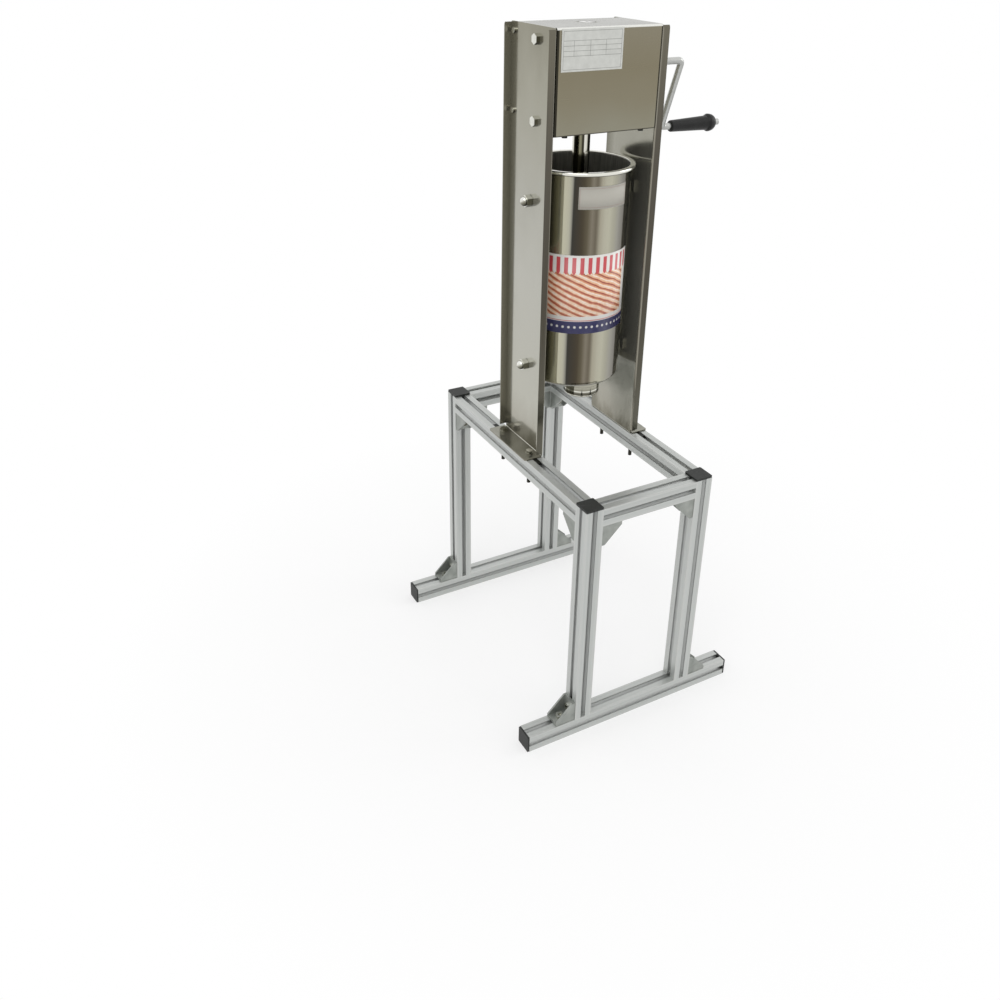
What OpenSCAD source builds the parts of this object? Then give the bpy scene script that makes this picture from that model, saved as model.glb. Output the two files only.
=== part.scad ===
// Churro maker on a stand of slotted extrusion, sizes in millimetres.
// X runs to the right, towards the crank, Y to the back and Z up from the floor.
// The origin is on the floor under the middle of the whole outline.

/* [Stand] */
// Side of the square extrusion
bar = 30; // [28:1:36]
// Depth of the stand over its legs
stand_d = 465; // [400:1:600]
// Length of a leg
leg_len = 395; // [300:1:500]
// Length of a floor beam
floor_beam_len = 394; // [380:1:500]
// How far the floor beams sit off the middle
floor_beam_shift = -2.5; // [-10:0.5:10]
// Width of a slot at the surface of the extrusion
slot_w = 8.2; // [8:0.1:9]
// Thickness of the slot's lips
slot_lip = 2.2; // [1.8:0.1:2.6]
// Width of the channel behind the lips
channel_w = 16.5; // [15:0.5:17]
// Depth to which the channel keeps its full width
channel_step = 4.6; // [4:0.1:5]
// Depth of the channel below the surface
channel_depth = 9; // [8.5:0.1:9.5]
// Width of the channel's floor
channel_floor = 8; // [7:0.5:8.5]
// Bore along the middle of the extrusion
core_bore = 6.8; // [5:0.1:7]
// Thickness of the cap on a leg
leg_cap_t = 3.5; // [2:0.5:6]
// Thickness of the cap on the end of a floor beam
beam_cap_t = 3; // [2:0.5:6]

/* [Brackets] */
// Length of each arm of a corner bracket
bracket_leg = 35; // [33:1:38]
// Width of a corner bracket
bracket_w = 28; // [25:1:28]
// Thickness of the two plates of a corner bracket
bracket_t = 4; // [3:0.5:5]
// Thickness of the side walls of a corner bracket
bracket_wall = 3; // [2:0.5:4]
// Distance of the screw from the bracket's corner
bracket_screw_at = 20; // [18:1:22]
// Length of the slotted hole in a bracket
bracket_hole_len = 13; // [10:1:15]
// Diameter of the screws in the brackets
bracket_screw_d = 8; // [6:0.5:8]
// Diameter of the head of a bracket screw
bracket_head_d = 13; // [12:0.5:15]
// Height of the head of a bracket screw
bracket_head_h = 4.4; // [3:0.2:5]
// Width across flats of the socket in a bracket screw
bracket_socket = 5; // [4:0.5:6]
// Depth of the socket in a bracket screw
bracket_socket_deep = 2.6; // [1:0.2:2.8]
// Length of a nut in the channel
slot_nut_len = 20; // [14:1:22]
// Height of a nut in the channel
slot_nut_h = 5.4; // [4:0.2:6]

/* [Panels] */
// Depth of the side panels
panel_d = 123; // [120:1:140]
// Distance of the panels' middle in front of the stand's middle, negative to the back
panel_back = 5; // [0:0.5:20]
// Clear width between the panels, as between the stand's side beams
inner_w = 170; // [168:1:184]
// Thickness of the panel sheet
sheet = 2; // [1.5:0.1:2.5]
// Width of the panels' flanges
flange_w = 10.5; // [9:0.5:12]
// Radius of the flanges' upper corners
flange_corner = 6; // [2:0.5:8]
// Overhang of the feet past the side beams
foot_over = 3; // [0:0.5:5]
// Radius of the feet's outer corners
foot_corner = 4; // [2:0.5:12]
// Height of the gap between flange and foot
flange_gap = 4.5; // [3:0.5:15]
// Outer radius of the bends in the sheet
bend_r = 3; // [2.6:0.1:4]

/* [Gear box] */
// Height of the gap between the cylinder's rim and the gear box
mouth_gap = 51; // [48:1:80]
// Height of the gear box
box_h = 140; // [136:1:160]
// Depth of the gear box
box_d = 105; // [102:1:112]
// Width of the back plate's flanges
back_flange = 16; // [14:0.5:17]
// Height of the upper guide bar
top_guide_h = 22; // [18:1:24]
// Height of the lower guide bar
bottom_guide_h = 26; // [20:1:28]
// Depth of the guide bars
guide_d = 52; // [48:1:54]
// Thickness of the inner bearing plate
bearing_t = 4; // [3:0.5:6]
// Distance of the inner bearing plate from the right panel
bearing_in = 36; // [30:1:44]
// Outer diameter of the two guide bushes
bush_d = 33; // [31:0.5:35]
// Width of the nameplate
nameplate_w = 98; // [60:1:120]
// Height of the nameplate
nameplate_h = 54; // [30:1:60]
// Thickness of the nameplate
nameplate_t = 0.8; // [0.5:0.1:1.5]
// Height of the nameplate's middle below the top
nameplate_down = 28.5; // [20:0.5:60]

/* [Gears] */
// Module of the gears and the rack
gear_module = 2; // [1.9:0.05:2]
// Width of the gears
gear_w = 10; // [8:0.5:12]
// Width of the rack's pinion
rack_pinion_w = 20; // [16:1:24]
// Play between the flanks of two teeth
backlash = 0.3; // [0.2:0.05:0.4]
// Diameter of the shafts
shaft_d = 10; // [9:0.5:11]
// Running clearance of a shaft in its bush, on the radius
run_clear = 0.05; // [0.03:0.01:0.08]
// Height of the crank's shaft above the middle of the gears' room
crank_rise = 13; // [12:0.5:19]
// Distance of the crank's shaft in front of the rod's axis
crank_front = 24; // [23:0.5:25]
// Distance of the rack shaft below the middle of the gears' room
rack_shaft_drop = 12; // [10:0.5:14]

/* [Crank] */
// Distance from the machine's middle to the crank's arm
arm_x = 152.5; // [140:0.5:180]
// Length of the crank's arm
arm_len = 108; // [80:0.5:120]
// Angle at which the arm hangs towards the back
arm_tilt = 20; // [0:0.5:30]
// Distance of the grip from the arm's middle
grip_off = 16.5; // [12:0.1:20]
// Radius of the crank's bends at the rod's middle
crank_bend = 6.5; // [6:0.5:12]
// Length of the grip
grip_len = 86; // [80:1:110]
// Diameter of the grip at the arm
grip_d_in = 17.5; // [16:0.5:20]
// Diameter of the grip before its flare
grip_d_mid = 22; // [20:0.5:25]
// Diameter of the grip's flare
grip_d_out = 27; // [25:0.5:30]
// Diameter of the screw head in the grip's end
grip_head_d = 9.7; // [8:0.1:11]
// Diameter of the screw in the grip's end
grip_screw_d = 6; // [5:0.5:7]

/* [Rod and piston] */
// Diameter of the rod
rod_d = 26; // [25:0.5:27]
// Distance of the rod's axis behind the stand's middle
rod_back = 5.5; // [4:0.5:8]
// Distance of the rack's pitch line from the rod's axis
rack_pitch_at = 7.5; // [7:0.1:8]
// Width of the groove down the rod's front
groove_w = 12.5; // [8:0.5:14]
// Depth of the groove down the rod's front
groove_deep = 3; // [2:0.5:4]
// Height of the groove's lower end below the top
groove_len = 177; // [150:1:200]
// Diameter of the centre hole in the rod's top
centre_hole_d = 5; // [3:0.5:8]
// Depth of the centre hole in the rod's top
centre_hole_deep = 10; // [5:1:20]
// Chamfer at the rod's top
rod_chamfer = 1.5; // [0.5:0.1:2.5]
// Thickness of the piston's disc
piston_t = 30; // [26:1:36]
// Height of the piston's hub
hub_h = 16; // [12:1:20]
// Diameter of the piston's hub
hub_d = 44; // [40:1:60]
// Gap between the piston's disc and the cylinder wall
piston_gap = 0.6; // [0.4:0.1:1.5]
// Height of the seal ring
seal_h = 6; // [4:0.5:8]
// Depth of the groove under the seal ring
seal_deep = 4; // [3:0.5:6]
// Distance of the piston above the cylinder's floor at rest
piston_rest = 16; // [13:0.5:20]
// Rise of the piston above the rim at the top of its travel
rise_out = 1.5; // [0:0.5:4]
// Diameter of the stud at the rod's lower end
stud_d = 16; // [14:0.5:18]
// Width across flats of the nut under the piston
piston_nut_w = 24; // [22:0.5:27]
// Height of the nut under the piston
piston_nut_h = 9; // [8:0.5:10]

/* [Cylinder] */
// Outer diameter of the cylinder
cyl_d = 150; // [148:0.5:151]
// Thickness of the cylinder's wall
cyl_wall = 1.5; // [1:0.1:2]
// Height of the rim above the stand's top
rim_up = 449; // [380:1:540]
// Height of the cylinder's floor above the stand's top
floor_up = 113; // [100:1:130]
// Diameter over the rolled rim
rim_d = 164; // [160:0.5:165]
// Height of the rolled rim
rim_h = 6; // [5:0.5:10]
// Radius of the lower edge
base_r = 8; // [5:0.5:12]
// Distance of the outlet in front of the cylinder's axis
outlet_front = 33; // [20:0.5:35]
// Outer diameter of the outlet
outlet_d = 57; // [52:0.5:60]
// Bore of the outlet's neck
outlet_bore = 44; // [36:0.5:46]
// Height of the neck's collar
neck_collar_h = 8; // [6:0.5:10]
// Diameter of the neck's threaded end
neck_d = 50; // [48:0.5:51]
// Height of the nozzle nut
nozzle_nut_h = 18.7; // [16:0.1:22]
// Radius of the nozzle nut's lower edge
nozzle_nut_r = 6; // [3:0.5:6]
// Thickness of the nozzle
nozzle_t = 5; // [4:0.5:6]
// Outer diameter of the star in the nozzle
star_d = 24; // [16:0.5:30]
// Number of points of the star
star_points = 8; // [6:1:10]

/* [Cylinder mounts] */
// Distance of the pins in front of the rod's axis
pin_front = 5; // [0:0.5:24]
// Distance of the upper pins below the rim
upper_pin_down = 48.5; // [30:0.5:60]
// Distance of the lower pins above the cylinder's floor
lower_pin_rise = 28; // [24:0.5:60]
// Diameter of the pins
pin_d = 10; // [8:0.5:10]
// Width of a lug on the cylinder
lug_w = 24; // [20:1:28]
// Height of a lug above its pin
lug_up = 14; // [12:1:18]
// Height of a lug below its pin
lug_down = 4; // [3:0.5:5]

/* [Hidden] */

$fn = 64;
over = 1;          // overrun of every cut
thread_gap = 0.05; // gap on the radius between a screw and its thread
hole_gap = 0.3;    // gap on the radius between a screw and its clearance hole
seat_gap = 0.3;    // gap between a loose piece and its seat
weld_gap = 0.03;   // gap between two pieces that are welded on a curve
arc_steps = 6;     // steps in a quarter turn of a drawn outline

stand_w = inner_w + 2 * bar;
machine_h = rim_up + mouth_gap + box_h;
deck = bar + leg_len;
top = deck + machine_h;
box_z = top - box_h;
panel_y0 = -panel_d / 2 + panel_back;
panel_y1 = panel_y0 + panel_d;
box_y1 = panel_y0 + box_d;
web = inner_w / 2;
out = web + sheet;
rod_y = rod_back;
grip_x0 = arm_x + grip_off;
grip_head_h = 7.5;
grip_x1 = grip_x0 + grip_len;
reach_right = grip_x1 + seat_gap + grip_head_h;
reach_left = floor_beam_len / 2 - floor_beam_shift + beam_cap_t;
mid_x = (reach_right - reach_left) / 2;
leg_x = (stand_w - bar) / 2;
leg_y = (stand_d - bar) / 2;
stand_in_w = inner_w;
stand_in_d = stand_d - 2 * bar;
sides = [-1, 1];

// Screws of the feet
foot_bolt_d = 6;
foot_bolt_at = 18;      // from the panel's front and rear edges
foot_bolt_w = 10;
foot_head_h = 4;
foot_washer_d = 12;
foot_washer_t = 1.6;
foot_nut_h = 5;
foot_bolt_end = 16;     // how far the bolts reach below the nuts
strip_ahead = 14;       // of the slot strips before and behind the feet
strip_down = 0.5;       // of the slot strips under the beam's top
strip_t = 2;            // thickness of the slot strips' wings
foot_washer_top = deck + sheet + foot_washer_t;
foot_bolt_y = [panel_y0 + foot_bolt_at, panel_y1 - foot_bolt_at];

// Teeth of the gears, which set the ratios of the drive
crank_teeth = 12;
idler_teeth = 13;
shaft_teeth = 18;
rack_teeth = 12;
rack_above = 3;         // teeth of the rod over the pinion at rest
rack_below = 3;         // teeth of the rod under it at the top of the travel
pitch = PI * gear_module;
stroke = rim_up + rise_out - floor_up - cyl_wall - piston_rest;
rack_count = rack_above + ceil(stroke / pitch) + rack_below;

// Wraps each piece and puts the origin under the middle of the outline
module placed() translate([-mid_x, 0, 0]) children();

// Lays a drawing of Y and Z out along X, from x0 over w
module along_x(x0, w) translate([x0, 0, 0]) rotate([90, 0, 90]) linear_extrude(w) children();
module rod_x(x0, w, y, z, d) translate([x0, y, z]) rotate([0, 90, 0]) cylinder(d = d, h = w);
// Turns a piece drawn along Z to point away from the middle, to the right or to the left
module outward(side) mirror([side < 0 ? 1 : 0, 0, 0]) rotate([0, 90, 0]) children();
module inward(side) outward(-side) children();
function arc(c, r, a0, a1) = [for (i = [0 : arc_steps])
    c + r * [cos(a0 + (a1 - a0) * i / arc_steps), sin(a0 + (a1 - a0) * i / arc_steps)]];
module hex_z(w, h) cylinder(d = w / cos(30), h = h, $fn = 6);

// Extrusion
function channel(gap) = [[bar / 2 + over, slot_w / 2], [bar / 2 - slot_lip, slot_w / 2],
    [bar / 2 - slot_lip, channel_w / 2 - gap], [bar / 2 - channel_step, channel_w / 2 - gap],
    [bar / 2 - channel_depth, channel_floor / 2]];
function both(p) = concat(p, [for (i = [len(p) - 1 : -1 : 0]) [p[i].x, -p[i].y]]);
module profile() difference() {
    square(bar, center = true);
    for (a = [0 : 90 : 270]) rotate(a) polygon(both(channel(0)));
    circle(d = core_bore);
}
module beam_x(l) translate([-l / 2, 0, 0]) rotate([90, 0, 90]) linear_extrude(l) profile();
module beam_y(l) translate([0, l / 2, 0]) rotate([90, 0, 0]) linear_extrude(l) profile();
metal = "#c0c4c0";

module floor_beam(y) placed() color(metal)
    translate([floor_beam_shift, y, bar / 2]) beam_x(floor_beam_len);
module front_floor_beam() floor_beam(-leg_y);
module rear_floor_beam() floor_beam(leg_y);

module leg(sx, sy) placed() color(metal)
    translate([sx * leg_x, sy * leg_y, bar]) linear_extrude(leg_len) profile();
module leg_front_left() leg(-1, -1);
module leg_front_right() leg(1, -1);
module leg_rear_left() leg(-1, 1);
module leg_rear_right() leg(1, 1);

module side_beam(sx) placed() color(metal) difference() {
    translate([sx * leg_x, 0, deck - bar / 2]) beam_y(stand_in_d);
    for (y = foot_bolt_y) translate([sx * leg_x, y, deck - bar - over])
        cylinder(d = foot_bolt_d + 2 * hole_gap, h = bar + 2 * over);
}
module left_top_beam() side_beam(-1);
module right_top_beam() side_beam(1);
module cross_beam(sy) placed() color(metal)
    translate([0, sy * leg_y, deck - bar / 2]) beam_x(stand_in_w);
module front_top_beam() cross_beam(-1);
module rear_top_beam() cross_beam(1);

cap_corner = 1.5;
module cap(t) {
    w = bar - 2 * cap_corner;
    linear_extrude(t) {
        square([bar, w], center = true);
        square([w, bar], center = true);
        for (x = sides, y = sides) translate([x * w / 2, y * w / 2]) circle(r = cap_corner, $fn = 24);
    }
}
module leg_caps() placed() color("#333533")
    for (x = sides, y = sides) translate([x * leg_x, y * leg_y, deck]) cap(leg_cap_t);
module beam_end_caps() placed() color("#333533") for (x = sides, y = sides)
    translate([floor_beam_shift + x * floor_beam_len / 2, y * leg_y, bar / 2])
        outward(x) cap(beam_cap_t);

// Brackets: the corner is at the origin, one plate lies on z = 0 and the other on x = 0
upper_places = concat(
    [for (x = sides, y = sides) [x * leg_x, y * stand_in_d / 2, deck - bar, -y * 90]],
    [for (x = sides, y = sides) [x * stand_in_w / 2, y * leg_y, deck - bar, 90 + x * 90]]);
lower_places = [for (x = sides, y = sides) [x * stand_w / 2, y * leg_y, bar, 90 - x * 90]];
module at_upper() for (p = upper_places)
    translate([p[0], p[1], p[2]]) rotate([0, 0, p[3]]) mirror([0, 0, 1]) children();
module at_lower() for (p = lower_places)
    translate([p[0], p[1], p[2]]) rotate([0, 0, p[3]]) children();
module both_plates() { children(); mirror([1, 0, -1]) children(); }

bracket_nose = 6;       // height of the side walls at their ends
module bracket_hole() {
    w = bracket_screw_d + 2 * hole_gap;
    s = (bracket_hole_len - w) / 2;
    translate([bracket_screw_at, 0, -over]) {
        for (k = sides) translate([k * s, 0, 0]) cylinder(d = w, h = bracket_t + 2 * over);
        translate([-s, -w / 2, 0]) cube([2 * s, w, bracket_t + 2 * over]);
    }
}
module bracket() difference() {
    union() {
        both_plates() translate([0, -bracket_w / 2, 0]) cube([bracket_leg, bracket_w, bracket_t]);
        for (y = [-bracket_w / 2, bracket_w / 2 - bracket_wall]) translate([0, y + bracket_wall, 0])
            rotate([90, 0, 0]) linear_extrude(bracket_wall) polygon([[0, 0], [bracket_leg, 0],
                [bracket_leg, bracket_nose], [bracket_nose, bracket_leg], [0, bracket_leg]]);
    }
    both_plates() bracket_hole();
}
module upper_brackets() placed() color("#9a9d98") at_upper() bracket();
module lower_brackets() placed() color("#9a9d98") at_lower() bracket();

screw_in = slot_lip + slot_nut_h - over;
module bracket_screw() translate([bracket_screw_at, 0, 0]) difference() {
    union() {
        translate([0, 0, -screw_in]) cylinder(d = bracket_screw_d, h = screw_in + bracket_t);
        translate([0, 0, bracket_t]) cylinder(d = bracket_head_d, h = bracket_head_h);
    }
    translate([0, 0, bracket_t + bracket_head_h - bracket_socket_deep])
        hex_z(bracket_socket, bracket_socket_deep + over);
}
module bracket_screws() placed() color("#b4b5ae") {
    at_upper() both_plates() bracket_screw();
    at_lower() both_plates() bracket_screw();
}

module slot_nut() difference() {
    w = channel_w / 2 - seat_gap;
    n = channel_floor / 2 + seat_gap / 2;
    d = slot_lip + slot_nut_h;
    e = channel_step - seat_gap;
    along_x(bracket_screw_at - slot_nut_len / 2, slot_nut_len)
        polygon([[w, -slot_lip], [w, -e], [n, -d], [-n, -d], [-w, -e], [-w, -slot_lip]]);
    translate([bracket_screw_at, 0, -d - over])
        cylinder(d = bracket_screw_d + 2 * thread_gap, h = slot_nut_h + 2 * over);
}
module slot_nuts() placed() color("#3a3a38") {
    at_upper() both_plates() slot_nut();
    at_lower() both_plates() slot_nut();
}

// Panels, drawn for the right and mirrored to the left
module panel_section() difference() {
    union() {
        translate([web, panel_y0]) square([sheet, panel_d]);
        for (y = [panel_y0, panel_y1 - sheet]) translate([web, y]) square([sheet + flange_w, sheet]);
    }
    for (s = sides) bend_cut([web, s < 0 ? panel_y0 : panel_y1], s);
}
module bend_cut(p, s) difference() {
    translate([p.x - over, s < 0 ? p.y - over : p.y - bend_r]) square(bend_r + over);
    translate([p.x + bend_r, p.y - s * bend_r]) circle(r = bend_r);
}
guide_bolt_front = 14;  // of the guide bars' bolts in front of the rod's axis
bolt_y = rod_y - guide_bolt_front;
guide_bolt_d = 8;
guide_bolt_down = 17.5;   // of the upper bolts under the gear box's top
guide_bolt_up = 14.5;   // of the lower bolts over the gear box's underside
top_bolt_z = top - guide_bolt_down;
bottom_bolt_z = box_z + guide_bolt_up;
back_screw_d = 4;
back_screw_out = 6;     // of the small screws behind the back plate
back_screw_down = 12;
back_screw_up = 20;
back_screw_y = box_y1 + back_screw_out;
back_screw_z = [box_z + back_screw_up, top - back_screw_down];
pin_y = rod_y - pin_front;
pin_z = [deck + floor_up + lower_pin_rise, deck + rim_up - upper_pin_down];
crank_y = rod_y - crank_front;
room_z = box_z + (box_h + bottom_guide_h - top_guide_h) / 2; // middle between the guide bars
crank_z = room_z + crank_rise;
rack_r = gear_module * rack_teeth / 2;
shaft_y = rod_y + rack_pitch_at + rack_r;
shaft_z = room_z - rack_shaft_drop;
bush_wall = 3;
bush_od = shaft_d + 2 * bush_wall;
bush_flange_t = 2;
bush_flange_w = 3;
bush_flange_d = bush_od + 2 * bush_flange_w;
bush_t = 8;             // length of a shaft bush

module side_panel() {
    difference() {
        union() {
            intersection() {
                translate([0, 0, deck]) linear_extrude(machine_h) panel_section();
                along_x(web - over, flange_w + sheet + 2 * over) flange_outline();
            }
            translate([0, 0, deck]) linear_extrude(sheet) foot_plate();
            translate([0, panel_y1 - bend_r, 0]) rotate([90, 0, 0])
                linear_extrude(panel_d - 2 * bend_r) foot_fold();
        }
        for (y = foot_bolt_y) translate([leg_x, y, deck - over])
            cylinder(d = foot_bolt_d + 2 * hole_gap, h = sheet + 2 * over);
        for (z = pin_z) rod_x(web - over, sheet + 2 * over, pin_y, z, pin_d + 2 * thread_gap);
        for (z = [top_bolt_z, bottom_bolt_z])
            rod_x(web - over, sheet + 2 * over, bolt_y, z, guide_bolt_d + 2 * thread_gap);
        for (z = back_screw_z)
            rod_x(web - over, sheet + 2 * over, back_screw_y, z, back_screw_d + 2 * thread_gap);
    }
}
module foot_plate() {
    x0 = web + bend_r + seat_gap;
    x1 = stand_w / 2 + foot_over;
    r = foot_corner;
    polygon(concat([[x0, panel_y0]], arc([x1 - r, panel_y0 + r], r, -90, 0),
        arc([x1 - r, panel_y1 - r], r, 0, 90), [[x0, panel_y1]]));
}
// The web's lower stretch, the bend and the foot's inner half in one fold
module foot_fold() {
    c = [web + bend_r, deck + bend_r];
    z1 = deck + sheet + flange_gap + over;
    polygon(concat([[leg_x, deck]], arc(c, bend_r, 270, 180), [[web, z1], [web + sheet, z1]],
        arc(c, bend_r - sheet, 180, 270), [[leg_x, deck + sheet]]));
}
// The flanges start over the foot and are rounded at the top
module flange_outline() {
    f = flange_corner;
    z0 = deck + sheet + flange_gap;
    polygon(concat([[panel_y0, z0], [panel_y1, z0]], arc([panel_y1 - f, top - f], f, 0, 90),
        arc([panel_y0 + f, top - f], f, 90, 180)));
}
panel_colour = "#a9a89c";
module right_panel() placed() color(panel_colour) difference() {
    side_panel();
    for (p = [crank_pos, shaft_pos]) rod_x(web - over, sheet + 2 * over, p.x, p.y, bush_od);
    rod_x(web - over, sheet + 2 * over, idler_pos.x, idler_pos.y, idler_pin_d + 2 * thread_gap);
}
module left_panel() placed() color(panel_colour) mirror([1, 0, 0]) side_panel();

// Gear box
cover_corner = bend_r;
module gearbox_cover() placed() color("#857f6c") difference() {
    along_x(-web, inner_w) difference() {
        translate([panel_y0, box_z]) square([box_d, box_h]);
        translate([panel_y0 + sheet, box_z - over]) square([box_d, box_h - sheet + over]);
        difference() {
            translate([panel_y0 - over, top - cover_corner]) square(cover_corner + over);
            translate([panel_y0 + cover_corner, top - cover_corner]) circle(r = cover_corner);
        }
    }
    translate([0, rod_y, top - sheet - over]) cylinder(d = bush_d + 2 * thread_gap, h = sheet + 2 * over);
}
module gearbox_back() placed() color("#8f8d82") difference() {
    translate([-web, box_y1 - sheet, box_z + sheet]) cube([inner_w, sheet + back_flange, box_h - 2 * sheet]);
    translate([-web + sheet, box_y1, box_z]) cube([inner_w - 2 * sheet, back_flange + over, box_h]);
    for (z = back_screw_z)
        rod_x(-web - over, inner_w + 2 * over, back_screw_y, z, back_screw_d + 2 * thread_gap);
}
bottom_screw_d = 4;
bottom_screw_x = 64;
bottom_screw_in = 6.5;  // from the front of the gear box
bottom_screw_y = panel_y0 + bottom_screw_in;
module gearbox_bottom() placed() color("#8f8d82") difference() {
    union() {
        translate([-web, panel_y0 + sheet, box_z]) cube([inner_w, box_d - sheet, sheet]);
        translate([-web, panel_y0 + sheet, box_z]) cube([inner_w, sheet, bottom_lip]);
    }
    translate([0, rod_y, box_z - over]) cylinder(d = bush_d + 2 * thread_gap, h = sheet + 2 * over);
    for (x = sides) translate([x * bottom_screw_x, bottom_screw_y, box_z - over])
        cylinder(d = bottom_screw_d + 2 * thread_gap, h = sheet + 2 * over);
}
bottom_lip = 12;        // lip of the bottom plate behind the front
guide_y0 = rod_y - guide_d / 2;

module guide(z, h) difference() {
    translate([-web, guide_y0, z]) cube([inner_w, guide_d, h]);
    translate([0, rod_y, z - over]) cylinder(d = bush_d + 2 * thread_gap, h = h + 2 * over);
}
module top_guide() placed() color("#9c9c96") difference() {
    guide(top - sheet - top_guide_h, top_guide_h);
    for (x = sides) guide_thread(x, top_bolt_z);
}
module bottom_guide() placed() color("#9c9c96") difference() {
    guide(box_z + sheet, bottom_guide_h);
    for (x = sides) guide_thread(x, bottom_bolt_z);
}
guide_bolt_len = 20;
module guide_thread(x, z) translate([x * (web + over), bolt_y, z]) inward(x)
    cylinder(d = guide_bolt_d + 2 * thread_gap, h = guide_bolt_len + over);

module bush(z, h) translate([0, rod_y, z]) difference() {
    cylinder(d = bush_d, h = h);
    translate([0, 0, -over]) cylinder(d = rod_d + 2 * run_clear, h = h + 2 * over);
}
module top_bush() placed() color("#c9c8c0") bush(top - sheet - top_guide_h, top_guide_h + sheet);
module bottom_bush() placed() color("#c9c8c0") bush(box_z, bottom_guide_h + sheet);

bearing_x = web - bearing_in;
bearing_y1 = box_y1 - sheet;
module bearing_plate() placed() color("#a5a49a") difference() {
    translate([bearing_x - bearing_t, guide_y0, box_z + sheet + bottom_guide_h])
        cube([bearing_t, bearing_y1 - guide_y0, box_h - 2 * sheet - top_guide_h - bottom_guide_h]);
    for (p = [crank_pos, shaft_pos])
        rod_x(bearing_x - bearing_t - over, bearing_t + 2 * over, p.x, p.y, bush_od);
    rod_x(bearing_x - bearing_t - over, bearing_t + 2 * over, idler_pos.x, idler_pos.y,
        idler_pin_d + 2 * thread_gap);
}
nameplate_x = -29;      // of the nameplate's middle from the machine's
module nameplate() placed() color("#d8d7d0")
    translate([nameplate_x - nameplate_w / 2, panel_y0 - nameplate_t, top - nameplate_down - nameplate_h / 2])
        cube([nameplate_w, nameplate_t, nameplate_h]);

guide_bolt_w = 13;
guide_bolt_h = 5.5;
module guide_bolts() placed() color("#b9b9b0")
    for (x = sides, z = [top_bolt_z, bottom_bolt_z]) translate([x * out, bolt_y, z]) outward(x) {
        translate([0, 0, -sheet - guide_bolt_len + over])
            cylinder(d = guide_bolt_d, h = sheet + guide_bolt_len);
        hex_z(guide_bolt_w, guide_bolt_h);
    }
small_head_d = 8;
small_head_h = 3;
small_screw_len = 8;
module small_screw() {
    cylinder(d = small_head_d, h = small_head_h);
    translate([0, 0, -small_screw_len]) cylinder(d = back_screw_d, h = small_screw_len + over);
}
module back_screws() placed() color("#b9b9b0") for (x = sides, z = back_screw_z)
    translate([x * out, back_screw_y, z]) outward(x) small_screw();
module bottom_screws() placed() color("#b9b9b0") for (x = sides)
    translate([x * bottom_screw_x, bottom_screw_y, box_z]) rotate([180, 0, 0]) small_screw();

// Gears: true involutes of 25 degrees, so that twelve teeth aren't undercut
pressure = 25;
addendum_share = 1;
dedendum_share = 1.25;
function inv(a) = tan(a) - a * PI / 180;
function flank_angle(r, rb) = r <= rb ? 0 : inv(acos(rb / r)) * 180 / PI;
flank_shares = [0, 0.06, 0.14, 0.24, 0.36, 0.5, 0.66, 0.83, 1];
function tooth(n, k, turn) =
    let (rp = gear_module * n / 2,
        rb = rp * cos(pressure),
        rt = rp + addendum_share * gear_module,
        rr = rp - dedendum_share * gear_module,
        half = 90 / n - backlash / 2 / rp * 90 / PI + flank_angle(rp, rb),
        mid = turn + k * 360 / n,
        r0 = max(rb, rr),
        radii = [for (s = flank_shares) r0 + s * (rt - r0)])
    concat([rr * [cos(mid - half), sin(mid - half)]],
        [for (r = radii) r * [cos(mid - half + flank_angle(r, rb)), sin(mid - half + flank_angle(r, rb))]],
        [for (i = [len(radii) - 1 : -1 : 0]) let (r = radii[i], a = mid + half - flank_angle(r, rb))
            r * [cos(a), sin(a)]],
        [rr * [cos(mid + half), sin(mid + half)]]);
module gear_shape(n, turn, bore) difference() {
    polygon([for (k = [0 : n - 1]) each tooth(n, k, turn)]);
    circle(d = bore);
}
// Turn of a gear that meshes with one before it, which lies in the direction of angle a
function mesh_turn(a, turn, n1, n2) = a + 180 - (1 / 2 - (a - turn) * n1 / 360) * 360 / n2;

gear_x = bearing_x + (bearing_in - gear_w) / 2;
idler_pin_d = 8;
crank_pos = [crank_y, crank_z];
shaft_pos = [shaft_y, shaft_z];
ab = gear_module * (crank_teeth + idler_teeth) / 2;
bc = gear_module * (idler_teeth + shaft_teeth) / 2;
ac = norm(shaft_pos - crank_pos);
dir_ac = atan2(shaft_z - crank_z, shaft_y - crank_y);
dir_ab = dir_ac + acos((ab * ab + ac * ac - bc * bc) / (2 * ab * ac));
idler_pos = crank_pos + ab * [cos(dir_ab), sin(dir_ab)];
dir_bc = atan2(shaft_z - idler_pos.y, shaft_y - idler_pos.x);
crank_turn = 0;
idler_turn = mesh_turn(dir_ab, crank_turn, crank_teeth, idler_teeth);
shaft_turn = mesh_turn(dir_bc, idler_turn, idler_teeth, shaft_teeth);
gear_metal = "#8c8a80";

module gear(pos, n, turn, x0, w, bore) along_x(x0, w) translate(pos) gear_shape(n, turn, bore);
module crank_pinion() placed() color(gear_metal)
    gear(crank_pos, crank_teeth, crank_turn, gear_x, gear_w, shaft_d + 2 * thread_gap);
module idler_gear() placed() color(gear_metal)
    gear(idler_pos, idler_teeth, idler_turn, gear_x, gear_w, idler_pin_d + 2 * run_clear);
module shaft_gear() placed() color(gear_metal)
    gear(shaft_pos, shaft_teeth, shaft_turn, gear_x, gear_w, shaft_d + 2 * thread_gap);
module rack_pinion() placed() color(gear_metal)
    gear(shaft_pos, rack_teeth, 0, -rack_pinion_w / 2, rack_pinion_w, shaft_d + 2 * thread_gap);

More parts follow.
